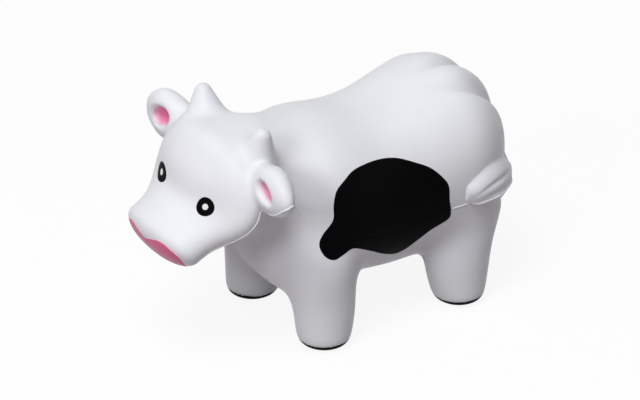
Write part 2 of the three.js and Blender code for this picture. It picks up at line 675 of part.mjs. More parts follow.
for (const [sideName, sign] of SIDES) {
  const eyeShare = EYE_X / along(headForm.width, EYE_ALONG);
  const eyeTurn = Math.acos(eyeShare ** (HEAD_SQUARENESS / 2));
  const eye = surfacePoint(headForm, EYE_ALONG, sign > 0 ? eyeTurn : Math.PI - eyeTurn);
  const facing = headUp.clone()
    .addScaledVector(LEFT, sign * Math.tan(degToRad(EYE_SPLAY_DEGREES)))
    .addScaledVector(headLine, Math.tan(degToRad(EYE_TIP_DEGREES)))
    .normalize();
  const reach = 4 * EYE_RADIUS;
  const pupilHole = roundCutter(eye, facing, EYE_DOT_RADIUS + GAP, reach);
  const ring = headFilm.intersect(roundCutter(eye, facing, EYE_RADIUS, reach)).subtract(pupilHole);
  const dot = headFilm.intersect(roundCutter(eye, facing, EYE_DOT_RADIUS, reach));
  addPiece(`eye_ring_${sideName}`, ring, PRINT_BLACK);
  addPiece(`eye_dot_${sideName}`, dot, FOAM_WHITE);

  const liningOutline = series(LIMB_SIDES, (index) => {
    const angle = (index / LIMB_SIDES) * 2 * Math.PI;
    return [LINING_HALF_LENGTH * Math.cos(angle), LINING_HALF_HEIGHT * Math.sin(angle)];
  });
  const cupBack = cupCentre(sign).addScaledVector(BACK, CUP_HALF_DEPTH);
  const tip = sign * degToRad(CUP_TIP_DEGREES);
  const liningRight = LEFT.clone().applyAxisAngle(BACK, tip);
  const liningUp = UP.clone().applyAxisAngle(BACK, tip);
  const liningCutter = prism(liningOutline, cupBack, liningRight, liningUp, CUP_HALF_DEPTH);
  const lining = cupSolid(sign, GAP).subtract(cupSolid(sign, GAP + FILM)).intersect(liningCutter);
  addPiece(`ear_lining_${sideName}`, lining, PRINT_PINK);

  const flank = (grow) => ENDS.reduce(
    (whole, [, end]) => whole.add(legSolid(sign, end, grow)),
    loft(torsoForm, grow),
  );
  const patchOutline = PATCH_OUTLINE.map(([back, up]) => (
    [sign * (PATCH_Y + back * PATCH_HALF_LENGTH), TORSO_AXIS - PATCH_DROP + up * PATCH_HALF_HEIGHT]
  ));
  const rearward = BACK.clone().multiplyScalar(sign);
  const patchCutter = prism(patchOutline, new THREE.Vector3(), rearward, UP, LEG_X + 2 * THIGH_RADIUS);
  const patch = flank(GAP + FILM).subtract(flank(GAP)).intersect(patchCutter);
  addPiece(`patch_${sideName}`, patch.subtract(loft(neckForm, GAP + FILM)), PRINT_BLACK);
}

const muzzleHalf = MUZZLE_OUTLINE.map(([across, up]) => [
  across * MUZZLE_PRINT_HALF_WIDTH,
  up * (up > 0 ? MUZZLE_PRINT_RISE : MUZZLE_PRINT_DROP),
]);
const muzzleOtherHalf = muzzleHalf.slice(1, -1).reverse().map(([across, up]) => [-across, up]);
const muzzleBack = inHead(0, MUZZLE_PRINT_ALONG, 0);
const muzzleCutter = prism([...muzzleHalf, ...muzzleOtherHalf], muzzleBack, LEFT, headUp, MUZZLE_ALONG);
addPiece('muzzle_print', headFilm.intersect(muzzleCutter), PRINT_PINK);

// Put the origin at the bottom centre of the box
const middle = new THREE.Box3().setFromObject(cow).getCenter(new THREE.Vector3());
cow.position.set(-middle.x, -middle.y, 0);

export default cow;
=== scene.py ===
# %% [markdown]
# # A foam cow to squeeze
# This toy is one soft moulding of white foam with paint printed on it. The lesson builds it in
# millimetres, round the middle of its four feet, and puts each finished piece into the frame in
# metres. The frame gives the measured boxes, so the foam is set down exactly where its legs stand.

# %% The frame and the feet
import json

import bpy
import numpy as np
from mathutils import Matrix, Vector

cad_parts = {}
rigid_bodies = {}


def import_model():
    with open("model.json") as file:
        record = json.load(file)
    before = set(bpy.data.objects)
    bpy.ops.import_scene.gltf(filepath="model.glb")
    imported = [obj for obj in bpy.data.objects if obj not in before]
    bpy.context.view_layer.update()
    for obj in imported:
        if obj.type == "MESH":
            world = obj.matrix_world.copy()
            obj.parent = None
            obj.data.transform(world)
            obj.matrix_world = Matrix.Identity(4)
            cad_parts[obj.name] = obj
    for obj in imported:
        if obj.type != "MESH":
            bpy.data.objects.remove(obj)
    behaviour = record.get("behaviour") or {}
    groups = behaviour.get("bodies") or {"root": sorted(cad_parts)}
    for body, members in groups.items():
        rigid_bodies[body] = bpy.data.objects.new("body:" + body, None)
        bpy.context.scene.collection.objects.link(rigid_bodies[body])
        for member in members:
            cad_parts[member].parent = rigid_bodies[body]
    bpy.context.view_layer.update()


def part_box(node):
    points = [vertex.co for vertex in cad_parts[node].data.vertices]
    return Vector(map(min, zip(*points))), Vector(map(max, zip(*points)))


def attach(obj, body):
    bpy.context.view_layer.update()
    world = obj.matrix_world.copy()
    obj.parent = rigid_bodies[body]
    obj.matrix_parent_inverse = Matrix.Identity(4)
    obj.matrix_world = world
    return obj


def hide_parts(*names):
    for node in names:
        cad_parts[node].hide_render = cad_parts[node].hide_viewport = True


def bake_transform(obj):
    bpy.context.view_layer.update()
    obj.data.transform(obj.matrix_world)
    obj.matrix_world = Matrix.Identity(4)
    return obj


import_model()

MM = 0.001
SIDES = (("left", 1), ("right", -1))
LEGS = [f"{end}_{side}" for end in ("front", "rear") for side, _ in SIDES]
sole_boxes = np.array([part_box(f"sole_{leg}") for leg in LEGS])
FEET = sole_boxes.mean((0, 1)) * (1, 1, 0)
SOLE_TOP = sole_boxes[:, 1, 2].mean() / MM
print("feet centre (m):", FEET.round(4), "sole top (mm):", SOLE_TOP.round(2))

# %% [markdown]
# The camera comes first, so that every later picture can be laid beside the photograph. The toy was
# taken with a long lens from its front left, a little above. A long lens keeps parallel edges
# nearly parallel, which is why the camera stands a full metre away from such a small thing.

# %% Camera
LENS_REACH = 1000                        # millimetres from the camera to the aim point
PIXELS_PER_MM = 3.52                     # scale of the picture at the aim point
IMAGE_WIDTH = 640
SENSOR = 36.0
AIM = np.array([0.0, -12.0, 35.0])
AIM_FROM_CENTRE = np.array([1.7, 3.3])   # where the aim point lands, in pixels right and up
AZIMUTH, ELEVATION = np.radians(56.45), np.radians(27.93)


def to_frame(points):
    """Millimetres from the middle of the feet to metres in the frame."""
    return np.asarray(points, float) * MM + FEET


toward_camera = np.array([
    np.sin(AZIMUTH) * np.cos(ELEVATION), -np.cos(AZIMUTH) * np.cos(ELEVATION), np.sin(ELEVATION)])
camera_right = np.array([np.cos(AZIMUTH), np.sin(AZIMUTH), 0.0])
camera_up = np.cross(toward_camera, camera_right)
nudge = AIM_FROM_CENTRE / PIXELS_PER_MM
eye_point = AIM + toward_camera * LENS_REACH - camera_right * nudge[0] - camera_up * nudge[1]

camera = bpy.data.objects.new("camera", bpy.data.cameras.new("camera"))
bpy.context.scene.collection.objects.link(camera)
camera.data.sensor_width = SENSOR
camera.data.lens = PIXELS_PER_MM * LENS_REACH * SENSOR / IMAGE_WIDTH
camera.data.clip_start, camera.data.clip_end = 0.05, 50
axes = Matrix(np.stack([camera_right, camera_up, toward_camera], 1).tolist())
camera.matrix_world = Matrix.Translation(Vector(to_frame(eye_point))) @ axes.to_4x4()
bpy.context.scene.camera = camera
print("lens (mm):", round(camera.data.lens, 1))

# %% [markdown]
# Foam has no edges: every part runs into the next over a soft hollow. Grids joined by hand would
# show their seams, so the body is written as a distance field instead. At each point the field says
# how far the surface is, with a minus sign inside, and two fields join softly by a smooth least
# value. The curves through the measured stations are cubic splines, so that highlights run on
# without a kink.

# %% Splines and soft joins


def spline(stations, place):
    """Cubic spline through (place, value) stations, level at both ends and held flat past them.

    The slopes solve the usual three-term rule, that neighbouring cubics share their curvature."""
    x, y = np.asarray(stations, float).T
    gap, count = np.diff(x), len(x)
    rule, wanted = np.eye(count), np.zeros(count)
    inner = np.arange(1, count - 1)
    rule[inner, inner - 1], rule[inner, inner + 1] = 1 / gap[:-1], 1 / gap[1:]
    rule[inner, inner] = 2 / gap[:-1] + 2 / gap[1:]
    rise = np.diff(y) / gap**2
    wanted[inner] = 3 * (rise[:-1] + rise[1:])
    slope = np.linalg.solve(rule, wanted)
    place = np.clip(place, x[0], x[-1])
    i = np.clip(np.searchsorted(x, place, side="right") - 1, 0, count - 2)
    u = (place - x[i]) / gap[i]
    ends = (1 + 2 * u) * (1 - u) ** 2 * y[i] + u * u * (3 - 2 * u) * y[i + 1]
    return ends + u * (1 - u) * gap[i] * ((1 - u) * slope[i] - u * slope[i + 1])


def join(a, b, reach):
    """Smooth least of two distances: the lesser, less a cubic bulge where they differ by little.

    The bulge begins where the difference falls under reach."""
    near = np.maximum(reach - np.abs(a - b), 0) / reach
    return np.minimum(a, b) - near**3 * reach / 6


def cut(a, b, reach):
    """What is inside a and outside b, with the edge between them rounded over reach."""
    return -join(-a, b, reach)


def ease(share):
    """A share held between 0 and 1 that leaves both ends level: 3 s^2 - 2 s^3."""
    share = np.clip(share, 0, 1)
    return share * share * (3 - 2 * share)


def unit(vector):
    """A vector, or each row of an array of them, at length one."""
    vector = np.asarray(vector, float)
    return vector / np.linalg.norm(vector, axis=-1, keepdims=True)


print("halfway up a step from 0 to 1:", spline([(0, 0), (2, 1)], np.array([1.0])))

# %% [markdown]
# Torso, head, legs and ears are lofts: an oval section whose half width, rise and drop change along
# a straight line, closed by a dome at each end. The oval is a superellipse, a little fuller than an
# ellipse, as a moulded toy's barrel is. The neck and the horns are round cones, and the chest is an
# egg.

# %% Fields of plain forms
TINY = 1e-9                              # keeps the powers and quotients off nought


def loft(points, origin, line, width, rise, drop, fullness, domes, up=(0, 0, 1)):
    """Distance to a loft: rho = (|side/width|^n + |height/half|^n)^(1/n) grows from the line out.

    Past the stations (start, end) in domes the share e of the dome is added as (rho^m + e^m)^(1/m).
    The surface is where that reaches 1, and dividing by its slope turns it into millimetres."""
    line = unit(line)
    up = unit(np.array(up, float) - line * np.dot(up, line))
    away = points - np.array(origin, float)
    place, side, height = away @ line, away @ np.cross(line, up), away @ up
    wide, over, under = spline(width, place), spline(rise, place), spline(drop, place)
    half, centre = (over + under) / 2, (over - under) / 2
    a, b = np.abs(side) / wide + TINY, np.abs(height - centre) / half + TINY
    rho = (a**fullness + b**fullness) ** (1 / fullness)
    start, start_dome, end, end_dome, m = domes
    e = np.maximum(np.maximum((start - place) / start_dome, (place - end) / end_dome), 0)
    total = (rho**m + e**m) ** (1 / m)
    out = (rho / total) ** (m - 1)
    slope_side = out * (a / rho) ** (fullness - 1) / wide
    slope_height = out * (b / rho) ** (fullness - 1) / half
    slope_place = (e / total) ** (m - 1) / np.where(place < start, start_dome, end_dome)
    return (total - 1) / np.sqrt(slope_side**2 + slope_height**2 + slope_place**2)


def round_cone(points, start, end, start_radius, end_radius):
    """Distance to two balls and the cone that wraps them, met along lines square to its side."""
    start, end = np.array(start, float), np.array(end, float)
    reach = np.linalg.norm(end - start)
    line = (end - start) / reach
    along = (points - start) @ line
    away = np.linalg.norm(points - start - along[:, None] * line, axis=1)
    taper = start_radius - end_radius
    share = np.clip((along - away * taper / np.sqrt(reach**2 - taper**2)) / reach, 0, 1)
    return np.hypot(along - share * reach, away) - (start_radius - taper * share)


def egg(points, centre, radii):
    """Distance to an ellipsoid: its scaled radius less 1, divided by the slope of that radius."""
    away = (points - np.array(centre, float)) / np.array(radii, float)
    scaled = np.linalg.norm(away, axis=1) + TINY
    return (scaled - 1) * scaled / (np.linalg.norm(away / np.array(radii, float), axis=1) + TINY)


print("4 mm off a ball of 10 mm:", egg(np.array([[14.0, 0, 0]]), (0, 0, 0), (10, 10, 10)))

# %% [markdown]
# The barrel sags a little in the belly, dips behind the shoulders and rises to a high round rump. A
# cleft runs down the middle of the rump, and a fold parts each hip from the ridge over the tail,
# deeper on the left. Each crease is a bell curve taken off the surface, so that it has no edge of
# its own.

# %% Barrel
BARREL_LEVEL, CREASE_RISE = 39, 12       # the barrel's line, and how the creases fade in above it
CLEFT = dict(depth=2.6, width=2.5, start=17, growth=18)
RIDGE = dict(depth=-0.15, width=2.6, start=28, growth=10)
RIDGE_X = 5.8
FOLD = dict(width=2.7, start=15, growth=22)
FOLD_DEPTH, RIGHT_FOLD, FOLD_CHANGE = 2.9, 0.2, 8     # the right share, and where the two meet
FOLD_X = [(14, 8), (19, 9), (23, 10.6), (27, 11.8), (31, 12.2), (36, 11.4), (41, 9.8), (46, 8.5)]


def bell(away, width):
    """A bell curve, one in the middle and falling to both sides: e to the minus (away/width)^2."""
    return np.exp(-((away / width) ** 2))


def crease(away, along, depth, width, start, growth):
    """Depth of a crease: a bell curve across its line that grows along it from its start."""
    return depth * bell(away, width) * ease((along - start) / growth)


def torso(points):
    """The barrel: a loft along Y, with the cleft, the two folds and the ridge of the rump."""
    x, y, z = points.T
    barrel = loft(
        points, (0, 0, BARREL_LEVEL), (0, 1, 0),
        width=[(-34, 22), (-20, 25), (-5, 25.5), (20, 26.3), (42, 25.5)],
        rise=[(-34, 21.6), (-20, 23.0), (-5, 22.5), (8, 23.3), (20, 27.2), (30, 29.6), (42, 29.4)],
        drop=[(-34, 20), (-20, 22.5), (-5, 25.6), (20, 24.5), (42, 22)],
        fullness=2.25, domes=(-19, 17, 22, 23, 2.1))
    fold_depth = FOLD_DEPTH * (RIGHT_FOLD + (1 - RIGHT_FOLD) * ease(x / FOLD_CHANGE + 0.5))
    creases = crease(x, y, **CLEFT)
    creases += crease(np.abs(x) - spline(FOLD_X, y), y, fold_depth, **FOLD)
    creases += crease(np.abs(x) - RIDGE_X, y, **RIDGE)
    return barrel + creases * ease((z - BARREL_LEVEL) / CREASE_RISE)


print("height of the barrel's back (mm):", 70 - torso(np.array([[0.0, 0, 70]])).round(1))

# %% [markdown]
# The legs are plain posts that swell upwards and lean inwards. A hind leg swells most at the back,
# where the haunch is, and each foot is rounded off where it meets the ground.

# %% Legs
LEG_X, LEG_Y, LEG_LEAN, FOOT_ROUND = 18.4, 23.3, 0.085, 6.5
FAR_FOOT = np.array([0.8, -1.2, 0])      # the right front foot stands a little inwards and ahead
LEG_SIDE = [(0, 7.8), (8, 8.2), (18, 8.7), (28, 8.6)]
# Half depth of a front leg (-1) and of a hind leg (1), by the height above the ground.
LEG_FRONT = {-1: LEG_SIDE, 1: [(0, 7.8), (8, 9.2), (18, 10.3), (28, 10.6)]}
LEG_BACK = {
    -1: [(0, 7.8), (8, 9.1), (18, 9.6), (28, 9.0)],
    1: [(0, 7.8), (8, 9.1), (18, 11.5), (28, 14.5)]}


def leg(points, side, end):
    """A post that leans inwards and swells upwards, most of all behind a hind leg."""
    foot = np.array([side * LEG_X, end * LEG_Y, 0]) + FAR_FOOT * (side < 0 and end < 0)
    post = loft(
        points, foot, (-side * LEG_LEAN, 0, 1),
        width=LEG_SIDE, rise=LEG_BACK[end], drop=LEG_FRONT[end],
        fullness=2, domes=(-50, 1, 26, 12, 2), up=(0, 1, 0))
    return cut(post, points[:, 2], FOOT_ROUND)


print("legs stand", 2 * LEG_X, "mm apart across and", 2 * LEG_Y, "mm along")

# %% [markdown]
# A wide head narrows towards a small muzzle, under a forehead that domes between the eyes. The ears
# stand straight out, each with a cup scooped slantwise into its front. The two differ a little: the
# left one is lower at its tip and has the narrower cup.

# %% Head and ears
HEAD_BACK = np.array([0.0, -37.0, 58.0])
HEAD_LINE = unit((0, -31, -22))
HEAD_UP = unit(np.array([0, 0, 1]) - HEAD_LINE * HEAD_LINE[2])
# Middle and radii of the forehead: across the head, down the face and out of it.
FOREHEAD, FOREHEAD_RADII, FOREHEAD_JOIN = (0, 12.3, 4.0), (18.0, 9.4, 9.2), 7
EAR_ROOT, EAR_WAY = (16, -43.2, 58.3), (1, -0.16, 0.03)
# Height of each ear above its line, by the distance from its root.
EAR_RISE = {
    1: [(0, 3.8), (5, 5.0), (12, 6.3), (21, 4.6)],
    -1: [(0, 4.8), (5, 5.5), (12, 7.5), (21, 6.5)]}
# Middle of each cup, out and up, and its radii.
CUPS = {1: ((27.1, 58.9), (4.0, 5.2, 2.5)), -1: ((27.2, 59.3), (4.9, 4.3, 3.1))}
CUP_TILT = np.array([[0.93, 0, 0.36], [0, 1, 0], [-0.36, 0, 0.93]])
CUP_Y, CUP_EDGE = -50, 2.4


def head(points):
    """The skull and face: a loft from the poll down to the muzzle, with a dome of a forehead."""
    skull = loft(
        points, HEAD_BACK, HEAD_LINE,
        width=[(0, 18.5), (10, 22.2), (19, 22.6), (28, 16.8), (36, 15.7)],
        rise=[(0, 13.2), (8.5, 14.7), (14, 11.6), (20, 7.5), (27, 6.5), (36, 8.0)],
        drop=[(0, 11), (10, 10.7), (20, 9.7), (28, 8.6), (36, 8.2)],
        fullness=2.05, domes=(8, 10.5, 33.3, 5.5, 2.15))
    in_skull = (points - HEAD_BACK) @ np.stack([(1, 0, 0), HEAD_LINE, HEAD_UP], 1)
    return join(skull, egg(in_skull, FOREHEAD, FOREHEAD_RADII), FOREHEAD_JOIN)


def ear(points, side):
    """A leaf that stands out sideways, with an egg-shaped hollow cut slantwise into its front."""
    mirror = (side, 1, 1)
    leaf = loft(
        points, np.multiply(EAR_ROOT, mirror), np.multiply(EAR_WAY, mirror),
        width=[(0, 4.0), (8, 4.8), (20, 3.4)],
        rise=EAR_RISE[side],
        drop=[(0, 6.8), (5, 7.2), (11, 7.4), (21, 6)],
        fullness=2.1, domes=(4, 4, 13.2, 7.8, 2))
    (cup_x, cup_z), radii = CUPS[side]
    tilted = (points * mirror - (cup_x, CUP_Y, cup_z)) @ CUP_TILT
    return cut(leaf, egg(tilted, (0, 0, 0), radii), CUP_EDGE)


print("the face slopes down by", np.degrees(np.arcsin(-HEAD_LINE[2])).round(1), "degrees")

# %% [markdown]
# Now the parts are joined, from the largest to the smallest, with a thick neck and a round keel of
# chest between them. Every join has a reach, the breadth of the soft hollow that it leaves: wide
# round the neck, tight under the jaw and at the ears. The left horn is shorter and narrower than
# the right. Two helpers read the field: one gives its slope, the other moves points onto the skin.

# %% Field of the whole cow
LEG_JOIN, CHEST_JOIN, NECK_JOIN, EAR_JOIN = 7.5, 8, 9, 3.5
CHEST, CHEST_RADII = (0, -22.5, 24.0), (24.0, 12.8, 13.6)
NECK = dict(start=(0, -20, 44.2), end=(0, -36, 52.3), start_radius=18.5, end_radius=14.2)
JAW_HEIGHT, JAW_JOIN = -4, 4             # the head's join is tight below its line
POLL_HEIGHT, POLL_JOIN = 5, 9            # and wide above it
HORN_ROOT, HORN_TIGHTER = (12.6, -42, 60.6), 0.8
# Tip of each horn, the radius there and the radius at its root.
HORNS = {1: ((15.0, -41.4, 68.6), 2.5, 5.6), -1: ((-15.4, -41.4, 70), 2.5, 6.8)}


def foam(points):
    """Distance to the cow's skin: its parts joined softly, from the largest to the smallest."""
    body = torso(points)
    for side in (1, -1):
        for end in (-1, 1):
            body = join(body, leg(points, side, end), LEG_JOIN)
    body = join(body, egg(points, CHEST, CHEST_RADII), CHEST_JOIN)
    body = join(body, round_cone(points, **NECK), NECK_JOIN)
    height = (points - HEAD_BACK) @ HEAD_UP
    above = np.clip((height - JAW_HEIGHT) / (POLL_HEIGHT - JAW_HEIGHT), 0, 1)
    body = join(body, head(points), JAW_JOIN + (POLL_JOIN - JAW_JOIN) * above)
    for side in (1, -1):
        tip, tip_radius, root_radius = HORNS[side]
        root = np.multiply(HORN_ROOT, (side, 1, 1))
        horn = round_cone(points, root, tip, root_radius, tip_radius)
        body = join(body, horn, root_radius - HORN_TIGHTER)
        body = join(body, ear(points, side), EAR_JOIN)
    return body


def slope(points, field=foam, step=0.02):
    """Gradient of a field by central differences along X, Y and Z."""
    steps = np.eye(3) * step
    return np.stack([(field(points + s) - field(points - s)) / (2 * step) for s in steps], 1)


def onto(points, along=None, field=foam, rounds=5, least_rate=0.05, most_step=6):
    """Points moved onto the skin by Newton steps, straight to it or along a given direction.

    A step is minus the distance over the rate at which it changes that way, within limits."""
    for _ in range(rounds):
        gradient = slope(points, field)
        way = gradient if along is None else np.broadcast_to(along, points.shape)
        rate = (gradient * way).sum(1, keepdims=True)
        rate = np.where(np.abs(rate) < least_rate, least_rate, rate)
        step = np.clip(-field(points)[:, None] / rate, -most_step, most_step)
        points = points + step * way
    return points


print("distance from above the middle of the back (mm):", foam(np.array([[0.0, 0, 70]])).round(2))

# %% [markdown]
# The field is sampled on a grid of small cells, like slices through a block of foam. The foam ends
# level at the bottom, where the black soles begin.

# %% Sampled block
CELL = 0.62
BLOCK_LOW, BLOCK_HIGH = (-40, -75, -1), (40, 48, 76)
SOLE_EDGE = 0.4                          # rounding of the level cut


def sampled(field, low, high, cell):
    """The field on a grid. It is nearly the same on both sides of X = 0, so one half is worked out.

    The points are pulled onto the true field afterwards, which takes up the small differences."""
    x = np.arange(cell / 2, high[0], cell)
    y, z = np.arange(low[1], high[1], cell), np.arange(low[2], high[2], cell)
    grid = np.stack(np.meshgrid(x, y, z, indexing="ij"), -1)
    half = np.stack([field(layer.reshape(-1, 3)).reshape(layer.shape[:2]) for layer in grid])
    return np.concatenate([half[::-1], half]), np.array([-x[-1], y[0], z[0]])


def standing_foam(points):
    """The foam cut level where the black soles begin."""
    return cut(foam(points), points[:, 2] - SOLE_TOP, SOLE_EDGE)


values, corner_point = sampled(standing_foam, BLOCK_LOW, BLOCK_HIGH, CELL)
print("samples across, along and up:", values.shape)

# %% [markdown]
# A surface net puts one point in each cell that the skin crosses and one four-sided face across
# each grid edge that it crosses. It gives an even mesh of quads, with no seam anywhere.

# %% Surface net


def surface_net(values, origin, cell):
    """One vertex per cell that holds a sign change, at the mean of its edges' zero points.

    Each grid edge that changes sign gives a face through the four cells round it."""
    inside = values < 0
    corners = [(i, j, k) for i in (0, 1) for j in (0, 1) for k in (0, 1)]
    shape = np.array(values.shape) - 1

    def corner(array, at):
        return array[at[0]:at[0] + shape[0], at[1]:at[1] + shape[1], at[2]:at[2] + shape[2]]

    filled = sum(corner(inside, at).astype(int) for at in corners)
    active = (filled > 0) & (filled < 8)
    cells = np.argwhere(active)
    number = np.full(shape, -1)
    number[active] = np.arange(len(cells))
    total, count = np.zeros((len(cells), 3)), np.zeros(len(cells))
    for axis in range(3):
        step = np.eye(3, dtype=int)[axis]
        for at in [np.array(c) for c in corners if c[axis] == 0]:
            a, b = corner(values, at)[active], corner(values, at + step)[active]
            crosses = (a < 0) != (b < 0)
            share = np.where(crosses, a / np.where(crosses, a - b, 1), 0)
            total += np.where(crosses[:, None], at + share[:, None] * step, 0)
            count += crosses
    faces = []
    for axis in range(3):
        step, one, two = (np.eye(3, dtype=int)[(axis + turn) % 3] for turn in range(3))
        first = tuple(slice(0, -1) if s else slice(None) for s in step)
        second = tuple(slice(1, None) if s else slice(None) for s in step)
        edge = np.argwhere(inside[first] != inside[second])
        ring = [number[tuple((edge - move).T)] for move in (0 * one, one, one + two, two)]
        quad = np.stack(ring, 1)
        outward = inside[tuple(edge.T)]
        faces.append(np.where(outward[:, None], quad, quad[:, ::-1]))
    return origin + cell * (cells + total / count[:, None]), np.concatenate(faces)


skin_points, skin_faces = surface_net(values, corner_point, CELL)
print("skin:", len(skin_points), "points,", len(skin_faces), "faces")

# %% [markdown]
# The points are then evened out and pulled exactly onto the field, so that no steps of the grid
# are left in the skin.

# %% Even skin


def evened(points, faces, field, rounds=4, pull=0.6):
    """Each point moved a pull of the way to its neighbours' mean, then back onto the field."""
    pairs = np.concatenate([faces[:, [i, (i + 1) % 4]] for i in range(4)])
    count = np.bincount(pairs[:, 0], minlength=len(points))[:, None]
    for _ in range(rounds):
        near = [np.bincount(pairs[:, 0], points[pairs[:, 1], k], len(points)) for k in range(3)]
        points = points + pull * (np.stack(near, 1) / count - points)
        points = onto(points, field=field, rounds=1)
    return onto(points, field=field, rounds=1)


skin_points = evened(skin_points, skin_faces, standing_foam)
print("furthest from the field (mm):", np.abs(standing_foam(skin_points)).max().round(4))

# %% [markdown]
# A finish is a small network of shader nodes. A few helpers keep it short: a node with its values,
# a cloudy noise, and two ways to turn a number into another or into a colour. The noise reads
# Object coordinates, so nothing slides over the shape.

# %% Shader helpers


def link(material, start, end):
    """Joins an output socket to an input socket."""
    material.node_tree.links.new(start, end)


def node(material, kind, **values):
    """A shader node with some of its inputs set by name."""
    made = material.node_tree.nodes.new(f"ShaderNode{kind}")
    for name, value in values.items():
        made.inputs[name.replace("_", " ")].default_value = value
    return made


def cloud(material, scale, detail=2.0):
    """A noise on Object coordinates, in patches of about one over scale metres."""
    place = material.node_tree.nodes.get("Texture Coordinate") or node(material, "TexCoord")
    made = node(material, "TexNoise", Scale=scale, Detail=detail)
    link(material, place.outputs["Object"], made.inputs["Vector"])
    return made.outputs["Factor" if "Factor" in made.outputs else "Fac"]


def spread(material, value, low, high, start=0.3, end=0.7):
    """A value from start to end turned into a number from low to high."""
    made = node(material, "MapRange")
    for name, number in (("From Min", start), ("From Max", end), ("To Min", low), ("To Max", high)):
        made.inputs[name].default_value = number
    link(material, value, made.inputs["Value"])
    return made.outputs["Result"]


def ramp(material, value, stops):
    """A value turned into a colour by stops of (place, colour)."""
    made = material.node_tree.nodes.new("ShaderNodeValToRGB")
    while len(made.color_ramp.elements) < len(stops):
        made.color_ramp.elements.new(0.5)
    for element, (place, colour) in zip(made.color_ramp.elements, stops):
        element.position, element.color = place, (*colour, 1)
    link(material, value, made.inputs["Fac"])
    return made.outputs["Color"]


print("helpers:", [helper.__name__ for helper in (link, node, cloud, spread, ramp)])

# %% [markdown]
# The skin of this foam is satin: smooth, with a fine pebble from the mould and slow cloudy shifts
# of tone and gloss. The black and white paints are thin and flat.

# %% Finishes
TONE_CLOUDS, GLOSS_CLOUDS, PEBBLES = 55, 240, 1100    # patches in a metre
PEBBLE_HEIGHT = 0.0002                                # metres


def finish(name, tones, rough, gloss, pebble):
    """A finish with cloudy tones, uneven roughness and a fine moulded pebble."""
    made = bpy.data.materials.new(name)
    made.use_nodes = True
    shader = made.node_tree.nodes["Principled BSDF"]
    shader.inputs["Specular IOR Level"].default_value = gloss
    tone = ramp(made, cloud(made, TONE_CLOUDS, 3), [(0.3, tones[0]), (0.7, tones[1])])
    link(made, tone, shader.inputs["Base Color"])
    link(made, spread(made, cloud(made, GLOSS_CLOUDS), *rough), shader.inputs["Roughness"])
    bump = node(made, "Bump", Strength=pebble, Distance=PEBBLE_HEIGHT)
    link(made, cloud(made, PEBBLES), bump.inputs["Height"])
    link(made, bump.outputs["Normal"], shader.inputs["Normal"])
    return made, shader


foam_skin, _ = finish(
    "foam_skin", [(0.79, 0.80, 0.85), (0.83, 0.84, 0.88)], (0.36, 0.44), gloss=0.15, pebble=0.10)
black_paint, _ = finish(
    "black_paint", [(0.0012, 0.0012, 0.0016), (0.0028, 0.0028, 0.0034)], (0.42, 0.54),
    gloss=0.02, pebble=0.12)
white_paint, _ = finish(
    "white_paint", [(0.80, 0.80, 0.81), (0.86, 0.86, 0.87)], (0.36, 0.44), gloss=0.3, pebble=0.08)
print("finishes:", [made.name for made in (foam_skin, black_paint, white_paint)])

# %% [markdown]
# The pinks are blown on through a mask. Each print carries its own rim value, nought in the middle
# and one at the edge, and the colour follows that. The ear linings fade towards their rim, a little
# unevenly, and a little noise added to the rim value gives the mottled fade. The muzzle's pink is
# lighter in the middle, a painted highlight, and darker at its rim, painted shade.

# %% Blown pinks
MOTTLE_CLOUDS, MOTTLE = 300, 0.06


def sprayed(name, stops):
    """Paint blown on: its colour runs from the middle to the rim by the piece's rim attribute."""
    made, shader = finish(name, [stops[0][1]] * 2, (0.38, 0.48), gloss=0.35, pebble=0.10)
    rim = node(made, "Attribute")
    rim.attribute_name = "rim"
    mottle = node(made, "Math")
    mottle.operation = "ADD"
    link(made, rim.outputs["Fac"], mottle.inputs[0])
    link(made, spread(made, cloud(made, MOTTLE_CLOUDS), -MOTTLE, MOTTLE), mottle.inputs[1])
    link(made, ramp(made, mottle.outputs[0], stops), shader.inputs["Base Color"])
    return made


# The muzzle's pink: lighter in the middle as a painted highlight, darker towards the rim as painted
# shade.
muzzle_pink_painted_light = sprayed("muzzle_pink_painted_light", [
    (0.0, (0.80, 0.19, 0.37)), (0.5, (0.76, 0.15, 0.32)),
    (0.9, (0.70, 0.12, 0.27)), (1.0, (0.66, 0.12, 0.25))])
ear_pink = sprayed("ear_pink", [
    (0.0, (0.78, 0.18, 0.36)), (0.66, (0.83, 0.26, 0.45)),
    (0.9, (0.82, 0.48, 0.60)), (1.0, (0.81, 0.78, 0.83))])
print("blown:", muzzle_pink_painted_light.name, ear_pink.name)

# %% [markdown]
# A small helper puts arrays into a mesh, smooth shaded, at the origin and in metres. Closed forms
# such as films, soles and the tail are rings of points with a fan at each end. The sign of their
# volume says whether the faces point outwards, and turns them round if not. The skin is the first
# piece.

# %% Arrays into pieces
FOAM_NODES = ["torso", "neck", "head"] + [f"leg_{name}" for name in LEGS]
FOAM_NODES += [f"{part}_{side}" for part in ("horn", "ear") for side, _ in SIDES]


def piece(name, points, faces, material, **attributes):
    """A smooth mesh object whose place is in its points, with named values stored on the points."""
    mesh = bpy.data.meshes.new(name)
    mesh.from_pydata(to_frame(points).tolist(), [], [list(face) for face in faces])
    mesh.shade_smooth()
    mesh.materials.append(material)
    for key, numbers in attributes.items():
        store = mesh.attributes.new(key, "FLOAT", "POINT")
        store.data.foreach_set("value", np.asarray(numbers, np.float32))
    made = bpy.data.objects.new(name, mesh)
    bpy.context.scene.collection.objects.link(made)
    return made


